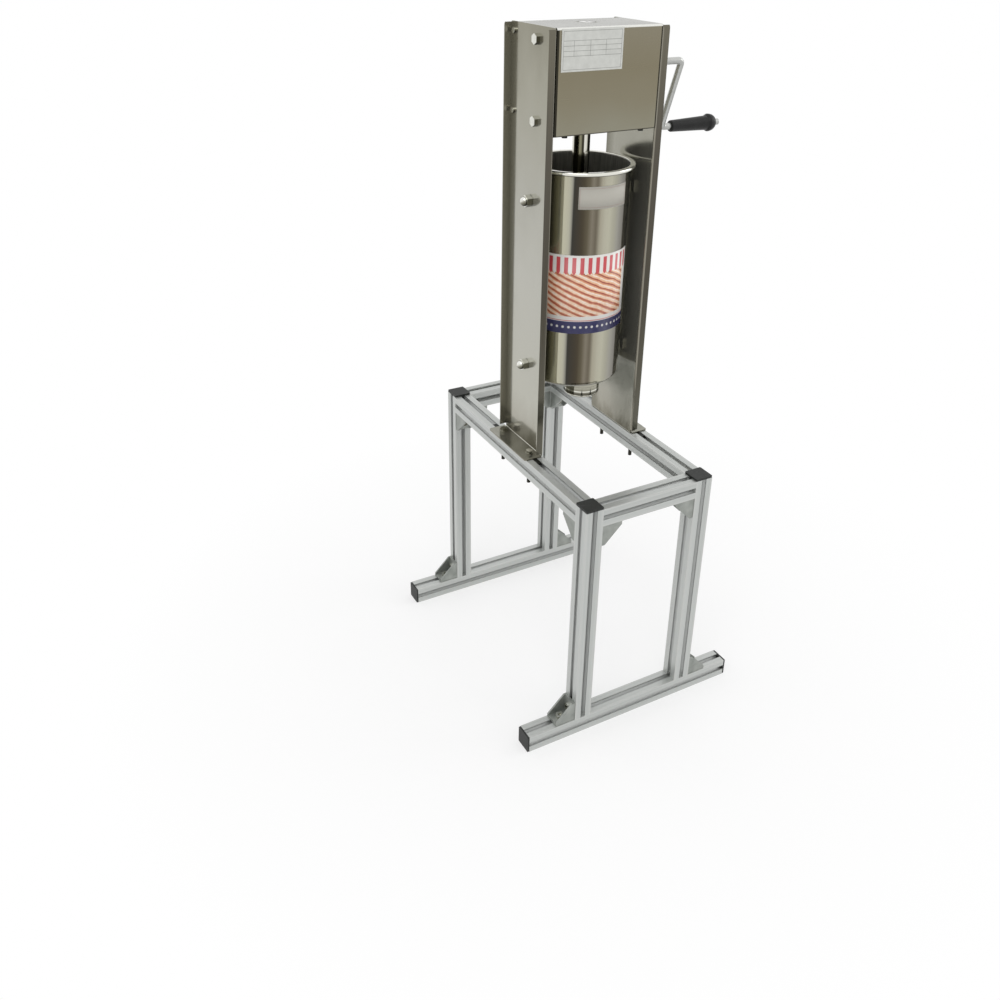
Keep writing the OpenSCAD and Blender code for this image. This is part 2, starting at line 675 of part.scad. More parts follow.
module shaft_bush() difference() {
    union() {
        cylinder(d = bush_od - 2 * thread_gap, h = bush_t);
        translate([0, 0, bush_t - bush_flange_t]) cylinder(d = bush_flange_d, h = bush_flange_t);
    }
    translate([0, 0, -over]) cylinder(d = shaft_d + 2 * run_clear, h = bush_t + 2 * over);
}
// Flange on the inner side of the right panel, and on the gears' side of the bearing plate
module right_bush(p) translate([out, p.x, p.y]) rotate([0, -90, 0])
    translate([0, 0, sheet + bush_flange_t - bush_t]) shaft_bush();
module plate_bush(p) translate([bearing_x - bearing_t, p.x, p.y]) rotate([0, 90, 0])
    translate([0, 0, bearing_t + bush_flange_t - bush_t]) shaft_bush();
module crank_bushes() placed() color("#b08d57") {
    right_bush(crank_pos);
    plate_bush(crank_pos);
}
module shaft_bushes() placed() color("#b08d57") {
    right_bush(shaft_pos);
    plate_bush(shaft_pos);
    translate([-web, shaft_y, shaft_z]) rotate([0, 90, 0]) difference() {
        cylinder(d = bush_flange_d, h = blind_bush_t);
        translate([0, 0, -over]) cylinder(d = shaft_d + 2 * run_clear, h = blind_bush_t + 2 * over);
    }
}
module idler_pin() placed() color("#a8a8a0")
    rod_x(bearing_x - bearing_t, bearing_in + bearing_t + sheet, idler_pos.x, idler_pos.y, idler_pin_d);
blind_bush_t = 10;      // of the bush on the left panel's inner face
module rack_shaft() placed() color("#a8a8a0")
    rod_x(seat_gap - web, web + out - seat_gap, shaft_y, shaft_z, shaft_d);

// Crank: one bent rod, drawn with the arm hanging and then tilted
grip_wall = 6;
spindle_end = grip_x1 - grip_wall;
grip_screw_in = 16;
module quarter_bend(p, a) translate(p) rotate([90, 0, 0]) rotate([0, 0, a])
    rotate_extrude(angle = 90) translate([crank_bend, 0]) circle(d = shaft_d, $fn = 32);
module crank() placed() color("#b5b5b2") translate([0, crank_y, crank_z]) rotate([arm_tilt, 0, 0])
    difference() {
        union() {
            rod_x(bearing_x - bearing_t, arm_x - crank_bend - bearing_x + bearing_t, 0, 0, shaft_d);
            quarter_bend([arm_x - crank_bend, 0, -crank_bend], 0);
            translate([arm_x, 0, crank_bend - arm_len]) cylinder(d = shaft_d, h = arm_len - 2 * crank_bend);
            quarter_bend([arm_x + crank_bend, 0, crank_bend - arm_len], 180);
            rod_x(arm_x + crank_bend, spindle_end - arm_x - crank_bend - seat_gap, 0, -arm_len, shaft_d);
        }
        rod_x(spindle_end - seat_gap - grip_screw_in, grip_screw_in + over, 0, -arm_len,
            grip_screw_d + 2 * thread_gap);
    }
module at_grip() placed() translate([0, crank_y, crank_z]) rotate([arm_tilt, 0, 0])
    translate([0, 0, -arm_len]) children();
grip_nose = 2.5;        // rounding of the grip's end at the arm
grip_flare_share = 0.83; // place of the flare along the grip
grip_flare_len = 4;
module grip_outline() {
    f = grip_flare_share * grip_len;
    n = grip_nose;
    r = grip_d_out / 2;
    e = grip_head_d / 2;
    polygon(concat([[0, 0]], arc([grip_d_in / 2 - n, n], n, -90, 0), [[grip_d_mid / 2, f - grip_flare_len / 2]],
        [[r - grip_flare_len / 4, f], [r, f + grip_flare_len / 2]],
        [for (p = arc([0, 0], 1, 0, 90)) if (p.y > 0)
            [e + (r - e) * p.x, f + grip_flare_len / 2 + (grip_len - f - grip_flare_len / 2) * p.y]],
        [[0, grip_len]]));
}
module grip() at_grip() color("#2c2d2c") translate([grip_x0, 0, 0]) rotate([0, 90, 0]) difference() {
    rotate_extrude() grip_outline();
    translate([0, 0, -over]) cylinder(d = shaft_d + 2 * run_clear, h = grip_len - grip_wall + over);
    cylinder(d = grip_screw_d + 2 * run_clear, h = grip_len + over);
}
module grip_screw() at_grip() color("#b5b5b2") {
    rod_x(spindle_end - seat_gap - grip_screw_in + over, grip_screw_in + grip_wall + 2 * seat_gap,
        0, 0, grip_screw_d);
    rod_x(grip_x1 + seat_gap, grip_head_h, 0, 0, grip_head_d);
}

// Rod with its rack at the back, its groove at the front and a stud for the piston
floor_z = deck + floor_up;
piston_z = floor_z + cyl_wall + piston_rest;
nut_seat = 2;           // of the nut inside the piston's recess
washer_t = 2;
washer_d = 30;
recess_gap = 2;         // around the washer in the piston's recess
recess_d = washer_d + 2 * recess_gap;
recess_deep = nut_seat + piston_nut_h + washer_t;
recess_roof = 9;        // of the piston between the recess and the rod's shoulder
shoulder_z = piston_z + recess_deep + recess_roof;
rack_y = rod_y + rack_pitch_at;
rack_low = shaft_z - (rack_count - rack_above) * pitch;
module rack_cut() {
    tip = addendum_share * gear_module;
    root = dedendum_share * gear_module;
    g = pitch / 4 + backlash / 2;
    t = tan(pressure);
    far = rack_y + rod_d;
    n0 = rack_low - pitch / 2;
    along_x(-rod_d, 2 * rod_d) polygon(concat(
        [[far, n0]],
        [[rack_y + tip, n0]],
        [for (k = [0 : rack_count - 1]) let (z = rack_low + k * pitch)
            each [[rack_y + tip, z - g - tip * t], [rack_y - root, z - g + root * t],
                [rack_y - root, z + g - root * t], [rack_y + tip, z + g + tip * t]]],
        [[rack_y + tip, rack_low + (rack_count - 1 / 2) * pitch],
            [far, rack_low + (rack_count - 1 / 2) * pitch]]));
}
module rack_rod() placed() color("#bdbcb0") difference() {
    union() {
        translate([0, rod_y, shoulder_z]) cylinder(d = rod_d, h = top - shoulder_z - rod_chamfer);
        translate([0, rod_y, top - rod_chamfer])
            cylinder(d1 = rod_d, d2 = rod_d - 2 * rod_chamfer, h = rod_chamfer);
        translate([0, rod_y, piston_z + nut_seat / 2])
            cylinder(d = stud_d, h = shoulder_z - piston_z - nut_seat / 2 + over);
    }
    rack_cut();
    translate([0, rod_y - rod_d / 2 - over, top - groove_len + groove_w / 2]) {
        translate([-groove_w / 2, 0, 0]) cube([groove_w, groove_deep + over, groove_len]);
        rotate([-90, 0, 0]) cylinder(d = groove_w, h = groove_deep + over);
    }
    translate([0, rod_y, top - centre_hole_deep]) cylinder(d = centre_hole_d, h = centre_hole_deep + over);
}
cyl_in = cyl_d / 2 - cyl_wall;
piston_r = cyl_in - piston_gap;
seal_fit = 0.08;        // running gap of the seal on the wall
seal_up = 14;           // of the seal's groove above the piston's underside
module piston() placed() color("#d9d7cc") translate([0, rod_y, piston_z]) difference() {
    rotate_extrude($fn = 96) polygon([[0, 0], [piston_r - 2 * piston_gap, 0], [piston_r, 2 * piston_gap],
        [piston_r, seal_up], [piston_r - seal_deep, seal_up], [piston_r - seal_deep, seal_up + seal_h],
        [piston_r, seal_up + seal_h], [piston_r, piston_t], [hub_d / 2, piston_t],
        [hub_d / 2, piston_t + hub_h], [0, piston_t + hub_h]]);
    translate([0, 0, -over]) cylinder(d = recess_d, h = recess_deep + over);
    cylinder(d = stud_d + 2 * thread_gap, h = piston_t);
    translate([0, 0, shoulder_z - piston_z]) cylinder(d = rod_d + 2 * thread_gap, h = piston_t + hub_h);
}
module piston_seal() placed() color("#2f2f2e") translate([0, rod_y, piston_z + seal_up]) difference() {
    cylinder(r = cyl_in - seal_fit, h = seal_h, $fn = 96);
    translate([0, 0, -over]) cylinder(r = piston_r - seal_deep + thread_gap, h = seal_h + 2 * over, $fn = 96);
}
module piston_nut() placed() color("#b4b4ac") translate([0, rod_y, piston_z + nut_seat]) difference() {
    union() {
        hex_z(piston_nut_w, piston_nut_h);
        translate([0, 0, piston_nut_h]) cylinder(d = washer_d, h = washer_t);
    }
    translate([0, 0, -over])
        cylinder(d = stud_d + 2 * thread_gap, h = piston_nut_h + washer_t + 2 * over);
}

// Cylinder
rim_z = deck + rim_up;
module cylinder_profile() {
    r = cyl_d / 2;
    b = base_r;
    t = cyl_wall;
    h = rim_z - floor_z;
    q = rim_h / 2 - seat_gap;
    polygon(concat([[0, 0]], arc([r - b, b], b, -90, 0), [[r, h - rim_h]],
        arc([rim_d / 2 - q, h - rim_h + q], q, -90, 0), arc([rim_d / 2 - q, h - q], q, 0, 90),
        [[r - t + q, h]], arc([r - t + q, h - q], q, 90, 180),
        arc([r - b, b], b - t, 0, -90), [[0, t]]));
}
outlet_y = rod_y - outlet_front;
module dough_cylinder() placed() color("#8b8878") difference() {
    translate([0, rod_y, floor_z]) rotate_extrude($fn = 128) cylinder_profile();
    translate([0, outlet_y, floor_z - over]) cylinder(d = outlet_bore, h = cyl_wall + 2 * over);
}
pin_end = 8.5;          // reach of a pin inside the panel
jam_nut_h = 3;
lug_x1 = web - jam_nut_h - seat_gap;
module cylinder_lug(x, z) difference() {
    translate([x < 0 ? -lug_x1 : 0, pin_y - lug_w / 2, z - lug_down]) cube([lug_x1, lug_w, lug_up + lug_down]);
    translate([0, rod_y, floor_z]) cylinder(r = cyl_d / 2 + weld_gap, h = rim_z - floor_z, $fn = 128);
    rod_x(x < 0 ? -web : 0, web, pin_y, z, pin_d + 2 * seat_gap);
    translate([x < 0 ? -web : 0, pin_y - pin_d / 2 - seat_gap, z - lug_down - over])
        cube([web, pin_d + 2 * seat_gap, lug_down + over]);
}
module cylinder_lugs() placed() color("#8b8878") for (x = sides, z = pin_z) cylinder_lug(x, z);
module cylinder_pins() placed() color("#b4b4ac") for (x = sides, z = pin_z)
    translate([x * web, pin_y, z]) inward(x) {
        hex_z(acorn_w, jam_nut_h);
        translate([0, 0, -sheet - acorn_collar_t - acorn_hex_h])
            cylinder(d = pin_d, h = sheet + acorn_collar_t + acorn_hex_h + pin_end);
    }
acorn_w = 16;           // across the flats of the acorn nuts
acorn_collar_d = 15;
acorn_collar_t = 0.6;
acorn_hex_h = 8.5;
acorn_dome_d = 14.5;
acorn_floor = 1;
module acorn_nuts() placed() color("#bcbcb2") for (x = sides, z = pin_z)
    translate([x * out, pin_y, z]) outward(x) difference() {
        union() {
            cylinder(d = acorn_collar_d, h = acorn_collar_t);
            translate([0, 0, acorn_collar_t]) hex_z(acorn_w, acorn_hex_h);
            intersection() {
                translate([0, 0, acorn_collar_t + acorn_hex_h]) sphere(d = acorn_dome_d);
                cylinder(d = acorn_dome_d, h = acorn_collar_t + acorn_hex_h + acorn_dome_d);
            }
        }
        translate([0, 0, -over])
            cylinder(d = pin_d + 2 * thread_gap, h = acorn_collar_t + acorn_hex_h + acorn_floor + over);
    }

// Outlet
neck_z = floor_z - neck_collar_h;
nut_top = neck_z - seat_gap;
nut_z = nut_top - nozzle_nut_h;
nut_lip = 3;
nozzle_hole_d = 36;
neck_end = nut_z + nut_lip + nozzle_t + seat_gap;
module outlet_neck() placed() color("#a09e92") translate([0, outlet_y, 0]) difference() {
    union() {
        translate([0, 0, neck_z]) cylinder(d = outlet_d, h = neck_collar_h);
        translate([0, 0, neck_end]) cylinder(d = neck_d, h = floor_z - neck_end);
    }
    translate([0, 0, neck_end - over]) cylinder(d = outlet_bore, h = floor_z - neck_end + 2 * over);
}
module nozzle_nut() placed() color("#a09e92") translate([0, outlet_y, nut_z]) {
    r = outlet_d / 2;
    b = nozzle_nut_r;
    n = neck_d / 2 + run_clear;
    rotate_extrude($fn = 96) polygon(concat([[nozzle_hole_d / 2, 0]], arc([r - b, b], b, -90, 0),
        [[r, nozzle_nut_h], [n, nozzle_nut_h], [n, nut_lip], [nozzle_hole_d / 2, nut_lip]]));
}
star_in_share = 0.62;
module nozzle() placed() color("#c8c6ba") translate([0, outlet_y, nut_z + nut_lip]) difference() {
    cylinder(d = neck_d - 2 * seat_gap, h = nozzle_t);
    translate([0, 0, -over]) linear_extrude(nozzle_t + 2 * over) polygon([for (k = [0 : 2 * star_points - 1])
        let (r = star_d / 2 * (k % 2 == 0 ? 1 : star_in_share)) r * [cos(k * 180 / star_points),
            sin(k * 180 / star_points)]]);
}

// Black strips in the slots under the feet, with holes for the feet's bolts
module slot_strips() placed() color("#2b2c2a") for (x = sides) difference() {
    translate([x * leg_x, panel_y0 - strip_ahead, deck - bar / 2]) rotate([-90, 0, 0])
        linear_extrude(panel_d + 2 * strip_ahead) {
            n = slot_w / 2 - seat_gap / 2;
            w = channel_w / 2 - 2 * seat_gap;
            u = bar / 2 - strip_down;
            v = bar / 2 - slot_lip;
            e = v - strip_t;
            mirror([0, 1]) polygon([[-n, u], [n, u], [n, v], [w, v], [w, e], [-w, e], [-w, v], [-n, v]]);
        }
    for (y = foot_bolt_y) translate([x * leg_x, y, deck - bar])
        cylinder(d = foot_bolt_d + 2 * thread_gap, h = bar + over);
}

// Screws of the feet
module foot_bolts() placed() color("#b4b4ac") for (x = sides, y = foot_bolt_y) translate([x * leg_x, y, 0]) {
    low = deck - bar - foot_washer_t - foot_nut_h - foot_bolt_end + over;
    translate([0, 0, foot_washer_top]) hex_z(foot_bolt_w, foot_head_h);
    translate([0, 0, low]) cylinder(d = foot_bolt_d, h = foot_washer_top - low);
    translate([0, 0, deck + sheet]) cylinder(d = foot_washer_d, h = foot_washer_t);
}
module foot_nuts() placed() color("#4a4a46") for (x = sides, y = foot_bolt_y)
    translate([x * leg_x, y, deck - bar - foot_washer_t]) difference() {
        union() {
            cylinder(d = foot_washer_d, h = foot_washer_t);
            translate([0, 0, -foot_nut_h]) hex_z(foot_bolt_w, foot_nut_h);
        }
        translate([0, 0, -foot_nut_h - over])
            cylinder(d = foot_bolt_d + 2 * thread_gap, h = foot_washer_t + foot_nut_h + 2 * over);
    }

front_floor_beam();
rear_floor_beam();
leg_front_left();
leg_front_right();
leg_rear_left();
leg_rear_right();
left_top_beam();
right_top_beam();
front_top_beam();
rear_top_beam();
leg_caps();
beam_end_caps();
upper_brackets();
lower_brackets();
bracket_screws();
slot_nuts();
left_panel();
right_panel();
gearbox_cover();
gearbox_back();
gearbox_bottom();
top_guide();
bottom_guide();
top_bush();
bottom_bush();
bearing_plate();
nameplate();
guide_bolts();
back_screws();
bottom_screws();
crank();
crank_pinion();
crank_bushes();
grip();
grip_screw();
idler_gear();
idler_pin();
rack_shaft();
shaft_gear();
rack_pinion();
shaft_bushes();
rack_rod();
piston();
piston_seal();
piston_nut();
dough_cylinder();
cylinder_lugs();
cylinder_pins();
acorn_nuts();
outlet_neck();
nozzle();
nozzle_nut();
foot_bolts();
foot_nuts();
slot_strips();
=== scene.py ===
import math

import bmesh
import bpy
from mathutils import Matrix, Vector


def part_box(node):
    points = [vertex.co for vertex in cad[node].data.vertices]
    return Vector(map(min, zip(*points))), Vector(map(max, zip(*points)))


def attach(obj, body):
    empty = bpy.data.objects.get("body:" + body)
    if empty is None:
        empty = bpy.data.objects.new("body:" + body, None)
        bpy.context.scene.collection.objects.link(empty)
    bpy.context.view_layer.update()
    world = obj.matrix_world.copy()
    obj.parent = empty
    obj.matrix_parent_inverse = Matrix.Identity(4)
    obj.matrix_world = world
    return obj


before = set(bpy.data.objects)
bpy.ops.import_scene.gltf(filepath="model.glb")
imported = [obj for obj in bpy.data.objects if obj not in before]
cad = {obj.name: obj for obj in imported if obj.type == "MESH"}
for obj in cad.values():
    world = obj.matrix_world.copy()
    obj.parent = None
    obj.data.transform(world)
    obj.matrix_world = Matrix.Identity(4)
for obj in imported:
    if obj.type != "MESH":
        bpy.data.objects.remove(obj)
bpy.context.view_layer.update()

# Camera. It stands at the front left, a little above the top of the machine, with its
# optical axis above the middle of the picture.
camera_data = bpy.data.cameras.new("photo_camera")
camera_data.sensor_width = 36
camera_data.lens = 35.284
camera_data.shift_x = -0.00538
camera_data.shift_y = -0.08342
camera_data.clip_end = 50
camera = bpy.data.objects.new("photo_camera", camera_data)
turn, height, roll = math.radians(-28.872), math.radians(26.929), math.radians(0.796)
camera.matrix_world = (Matrix.Translation((-0.8293, -1.22516, 1.19139)) @ Matrix.Rotation(turn, 4, "Z")
    @ Matrix.Rotation(math.pi / 2 - height, 4, "X") @ Matrix.Rotation(roll, 4, "Z"))
bpy.context.scene.collection.objects.link(camera)
bpy.context.scene.camera = camera

# Stand. Ten lengths of drawn aluminium extrusion, clear anodised and satin, with fine
# lines along the length left by the die. The insides of the slots are painted brighter, a painted fill light
# against their shade, and the long corners carry a painted highlight.


class Wire:
    """A socket of a material's node tree. Sums of wires and numbers add Math nodes."""

    def __init__(self, tree, socket):
        self.tree = tree
        self.socket = socket

    def node(self, kind, put, settings=None, out=0):
        """A new node, with its settings, and values or wires on its inputs."""
        made = self.tree.nodes.new("ShaderNode" + kind)
        for name, value in (settings or {}).items():
            if name == "stops":
                ends = made.color_ramp.elements
                ends[0].position, ends[0].color = value[0][0], rgb(value[0][1])
                ends[1].position, ends[1].color = value[-1][0], rgb(value[-1][1])
                for stop, colour in value[1:-1]:
                    ends.new(stop).color = rgb(colour)
            else:
                setattr(made, name, value)
        for name, value in put.items():
            if isinstance(value, Wire):
                self.tree.links.new(value.socket, made.inputs[name])
            else:
                made.inputs[name].default_value = value
        return Wire(self.tree, made.outputs[out])

    def math(self, operation, *others):
        """A Math node with this value first."""
        return self.node("Math", dict(enumerate((self, *others))), {"operation": operation})

    def __add__(self, other):
        return self.math("ADD", other)

    __radd__ = __add__

    def __sub__(self, other):
        return self.math("SUBTRACT", other)

    def __rsub__(self, other):
        return self.node("Math", {0: other, 1: self}, {"operation": "SUBTRACT"})

    def __mul__(self, other):
        return self.math("MULTIPLY", other)

    __rmul__ = __mul__

    def __truediv__(self, other):
        return self.math("DIVIDE", other)

    def __abs__(self):
        return self.math("ABSOLUTE")

    def sine(self):
        return self.math("SINE")

    def above(self, edge, soft=0.0004):
        """1 where the value is above an edge, with a soft step of a given width."""
        return self.node("MapRange", {"Value": self, "From Min": edge - soft / 2, "From Max": edge + soft / 2})

    def between(self, low, high, soft=0.0004):
        return self.above(low, soft) * (1 - self.above(high, soft))

    def mixed(self, first, second):
        """A colour between two colours, by this value."""
        return self.node("Mix", {0: self, 6: first, 7: second}, {"data_type": "RGBA"}, out=2)

    def ramp(self, *stops):
        """A colour by this value, from stops of a place and a colour."""
        return self.node("ValToRGB", {"Fac": self}, {"stops": stops})

    def noise(self, scale, stretch=(1, 1, 1), detail=3, roughness=0.5):
        """Noise from 0 to 1 on a vector, stretched by a scale on each axis."""
        mapped = self.node("Mapping", {"Vector": self, "Scale": stretch})
        return mapped.node("TexNoise", {"Vector": mapped, "Scale": scale, "Detail": detail,
            "Roughness": roughness})

    def split(self):
        """The three numbers of a vector."""
        parts = self.node("SeparateXYZ", {0: self})
        return tuple(Wire(self.tree, out) for out in parts.socket.node.outputs)

    def about(self, centre):
        """A place measured from a centre."""
        return self.node("Mapping", {"Vector": self, "Location": tuple(-c for c in centre)})


def rgb(code):
    """A colour written as it should render, as the linear light of a shader."""
    parts = [int(code[i:i + 2], 16) / 255 for i in (0, 2, 4)]
    return tuple(((c + 0.055) / 1.055) ** 2.4 if c > 0.04045 else c / 12.92 for c in parts) + (1,)


class Surface:
    """A material with its shader, and wires on the place and on the direction of a face."""

    def __init__(self, name, metallic, roughness, coat=0, specular=0.5):
        self.material = bpy.data.materials.new(name)
        self.material.use_nodes = True
        self.tree = self.material.node_tree
        self.shader = self.tree.nodes["Principled BSDF"]
        self.shader.inputs["Metallic"].default_value = metallic
        self.shader.inputs["Roughness"].default_value = roughness
        self.shader.inputs["Coat Weight"].default_value = coat
        self.shader.inputs["Coat Roughness"].default_value = 0.1
        self.shader.inputs["Specular IOR Level"].default_value = specular
        source = self.tree.nodes.new("ShaderNodeTexCoord").outputs
        self.place = Wire(self.tree, source["Object"])
        self.facing = Wire(self.tree, source["Normal"])

    def feed(self, name, wire):
        """Links a wire to one of the shader's inputs."""
        self.tree.links.new(wire.socket, self.shader.inputs[name])

    def bump(self, height, distance, strength):
        self.feed("Normal", height.node("Bump", {"Strength": strength, "Distance": distance, "Height": height}))

    def dress(self, *nodes):
        """Gives the material to nodes of the CAD model."""
        for name in nodes:
            cad[name].data.materials.clear()
            cad[name].data.materials.append(self.material)


outer_skin = 0.0146
highlight_corner_strip = 0.0118
for beam in ("front_floor_beam", "rear_floor_beam", "front_top_beam", "rear_top_beam", "left_top_beam",
        "right_top_beam", "leg_front_left", "leg_front_right", "leg_rear_left", "leg_rear_right"):
    low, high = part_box(beam)
    run = max(range(3), key=lambda i: (high - low)[i])
    surface = Surface("drawn_aluminium_" + beam, 0.6, 0.34)
    lines = surface.place.noise(9, tuple(0.08 if i == run else 80 for i in range(3)))
    rubbed = surface.place.noise(6, detail=2)
    centred = surface.place.about((low + high) / 2).split()
    first, second = (abs(centred[i]) for i in range(3) if i != run)
    skin = (lines * 0.6 + rubbed * 0.4).ramp((0.3, "b5b8b5"), (0.5, "bdc0bd"), (0.7, "c5c7c5"))
    # Painted highlight along the long corners of each bar.
    painted_corner_highlight = first.above(highlight_corner_strip, 0.0008) * second.above(highlight_corner_strip, 0.0008)
    skin = painted_corner_highlight.mixed(skin, rgb("c2c4c1"))
    # The insides of the slots are painted brighter than the outside, a painted fill light against their shade.
    outside = first.math("MAXIMUM", second).above(outer_skin)
    surface.feed("Base Color", outside.mixed(rgb("c6c8c6"), skin))
    surface.feed("Roughness", 0.3 + lines * 0.1)
    surface.bump(lines, 0.00004, 0.4)
    surface.dress(beam)

# Caps on the extrusion's ends. Black moulded plastic with a fine eroded grain, pressed
# into the bore.
surface = Surface("black_cap_plastic", 0.0, 0.5, specular=0.35)
grain = surface.place.noise(2500, detail=2)
scuff = surface.place.noise(120, detail=5, roughness=0.7)
surface.feed("Base Color", scuff.above(0.62, 0.2).mixed(rgb("242624"), rgb("343634")))
surface.feed("Roughness", 0.42 + grain * 0.2)
surface.bump(grain, 0.00004, 0.6)
surface.dress("leg_caps", "beam_end_caps")

# Corner brackets. Die cast aluminium, tumbled, with a pebbled skin and darker hollows.
# Each is held by two screws.
surface = Surface("cast_bracket_aluminium", 0.7, 0.45)
pebble = surface.place.noise(900)
stain = surface.place.noise(60, detail=4)
surface.feed("Base Color", stain.ramp((0.3, "8d918c"), (0.7, "a7aaa5")))
surface.feed("Roughness", 0.38 + pebble * 0.2)
surface.bump(pebble, 0.00008, 0.5)
surface.dress("upper_brackets", "lower_brackets")

# Screws, bolts and their nuts. Zinc plated steel with dull spots from the spanner, painted bright on
# the sides that look up and dark on those that look down and to the front, a painted highlight and painted
# shade.
surface = Surface("zinc_plated_steel", 1.0, 0.1)
side, front, up = surface.facing.split()
spot = surface.place.noise(300)
# Painted highlight and painted shade by the face's direction, with the spanner's spots.
painted_light_and_marks = 0.46 + up * 0.42 + front * 0.2 - side * 0.08 + (spot - 0.5) * 0.12
surface.feed("Base Color", painted_light_and_marks.ramp((0.06, "302f27"), (0.3, "7b796c"), (0.42, "a9a89c"), (0.55, "dcdcd4"),
    (0.85, "f1f1ec")))
surface.feed("Roughness", 0.1 + spot * 0.08)
surface.bump(spot, 0.00002, 0.3)
surface.dress("bracket_screws", "guide_bolts", "back_screws", "acorn_nuts", "cylinder_pins", "piston_nut")

# Screws of the panels' feet. Their heads have a painted highlight on the faces that look up and painted shade
# on those that look down and to the front, and their threaded ends under the slots are painted dark, a painted
# shade under the beams.
head_level, thread_pitch = 0.424, 0.001
surface = Surface("foot_screw_steel", 1.0, 0.16)
front, up = surface.facing.split()[1:]
level = surface.place.split()[2]
below = 1 - level.above(head_level, 0.002)
# Painted highlight on the head's upper faces, painted shade on its lower and front faces.
painted_lit_head = (0.5 + up * 0.4 + front * 0.15).ramp((0.1, "3b3a31"), (0.4, "8f8d81"), (0.6, "cfcec5"), (0.85, "e6e6e0"))
# Painted shade below the heads, with the thread's pattern.
thread = (level * (2 * math.pi / thread_pitch)).sine()
painted_shade_thread = (thread * 0.5 + 0.5).mixed(rgb("23231f"), rgb("45443c"))
surface.feed("Base Color", below.mixed(painted_lit_head, painted_shade_thread))
surface.feed("Roughness", 0.12 + surface.place.noise(300) * 0.12 + below * 0.25)
surface.bump(thread * below, 0.0002, 0.6)
surface.dress("foot_bolts")

# Nuts in the slots, the strips under the feet, the nuts of the feet and the small screws
# under the gear box. Blackened steel, rubbed bare in spots.
surface = Surface("blackened_steel", 0.8, 0.4)
rub = surface.place.noise(200, detail=4, roughness=0.7)
surface.feed("Base Color", rub.above(0.64, 0.12).mixed(rgb("2a2b28"), rgb("53544f")))
surface.feed("Roughness", 0.3 + rub * 0.3)
surface.dress("slot_nuts", "foot_nuts", "slot_strips", "bottom_screws")

# Side panels. Two millimetre stainless sheet, folded and polished. The webs are bright
# and a little milky where hands wipe them, with a painted reflection that is darker towards the bottom and the
# top and beside the rear flange. The narrow flanges and the feet are painted dark, painted shade by the face's
# direction, the rear flange a little lighter, with a painted bright line along the bottom folds and a painted
# mid-tone reflection line along the upright folds.
painted_flange_reflection_width, painted_rear_flange_width = 0.014, 0.02
for panel in ("left_panel", "right_panel"):
    low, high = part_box(panel)
    surface = Surface("polished_" + panel, 0.78, 0.13)
    deep, level = surface.place.split()[1:]
    side, front, up = (abs(part) for part in surface.facing.split())
    grain = surface.place.noise(12, (30, 30, 0.5))
    wiped = surface.place.noise(26, (1, 1, 0.45), 5, 0.62)
    climb = (level - low.z) / (high.z - low.z)
    # Painted reflection on the web: darker towards the bottom and the top.
    web = (climb + (wiped - 0.5) * 0.16).ramp((0.0, "7f7b6c"), (0.045, "a8a599"), (0.13, "b5b4a9"),
        (0.45, "b6b5ac"), (0.62, "acaba1"), (0.85, "a09e90"), (1.0, "8f8c7d"))
    # Painted reflection of the rear flange, darker, on the web beside it.
    web = deep.above(high.y - painted_flange_reflection_width, 0.02).mixed(web, rgb("7f7d70"))
    # The flanges are painted dark, painted shade by the face's direction, and the rear flange is painted
    # lighter.
    flange = (climb + (grain - 0.5) * 0.3).ramp((0.05, "5d5b50"), (0.4, "4b473d"), (0.75, "57534a"),
        (0.95, "6b675a"))
    flange = deep.above(high.y - painted_rear_flange_width, 0.004).mixed(flange, rgb("8b887b"))
    # The feet are painted darker than the webs, painted shade by the face's direction.
    foot = wiped.ramp((0.35, "8b8a7e"), (0.6, "9a998f"))
    base = front.above(0.7, 0.1).mixed(web, flange)
    base = up.above(0.7, 0.1).mixed(base, foot)
    # Painted highlight along the folds between the webs and the feet.
    base = (side * up).above(0.16, 0.1).mixed(base, rgb("dddcd2"))
    # Painted mid-tone reflection line along the upright folds between the webs and the flanges.
    base = (side * front).above(0.2, 0.12).mixed(base, rgb("8b877b"))
    surface.feed("Base Color", base)
    surface.feed("Roughness", 0.1 + grain * 0.05 + wiped.above(0.55, 0.2) * 0.07)
    surface.bump(grain, 0.00002, 0.2)
    surface.dress(panel)

# Gear box. The cover, the back and the bottom plate are the same stainless sheet, left
# with its satin rolling finish. The front is painted an olive tone and the top painted light, a painted
# reflection by the face's direction; the strips beside the cover are painted dark as painted shade in the gaps,
# the front top edge has a painted highlight and the lowest edge a painted shade line.
left_gap_shade_width, right_gap_shade_width, lower_shade_edge_width = 0.0034, 0.0016, 0.0012
low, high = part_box("gearbox_cover")
surface = Surface("satin_box_sheet", 1.0, 0.26, specular=0.1)
across, _, level = surface.place.split()
front, up = surface.facing.split()[1:]
grain = surface.place.noise(10, (0.8, 20, 20))
cloud = surface.place.noise(9)
climb = (level - low.z) / (high.z - low.z) + (cloud - 0.5) * 0.5
# The front is painted olive, a painted reflection, changing a little with height.
face = climb.ramp((0.0, "8f8c7c"), (0.3, "88826f"), (0.6, "847d69"), (1.0, "8a8473"))
# Strips beside the cover are painted dark, painted shade in the gaps beside the panels.
between_gap_shades = (across - low.x).between(left_gap_shade_width, high.x - low.x - right_gap_shade_width, 0.0006)
face = (1 - between_gap_shades).mixed(face, rgb("35332b"))
# The top is painted light, painted light by the face's direction.
top = up.above(0.6, 0.3)
base = top.mixed(face, cloud.ramp((0.35, "9a9a95"), (0.6, "a4a49f")))
# Painted highlight along the front top edge.
base = (up * (0 - front)).above(0.12, 0.1).mixed(base, rgb("e4e4df"))
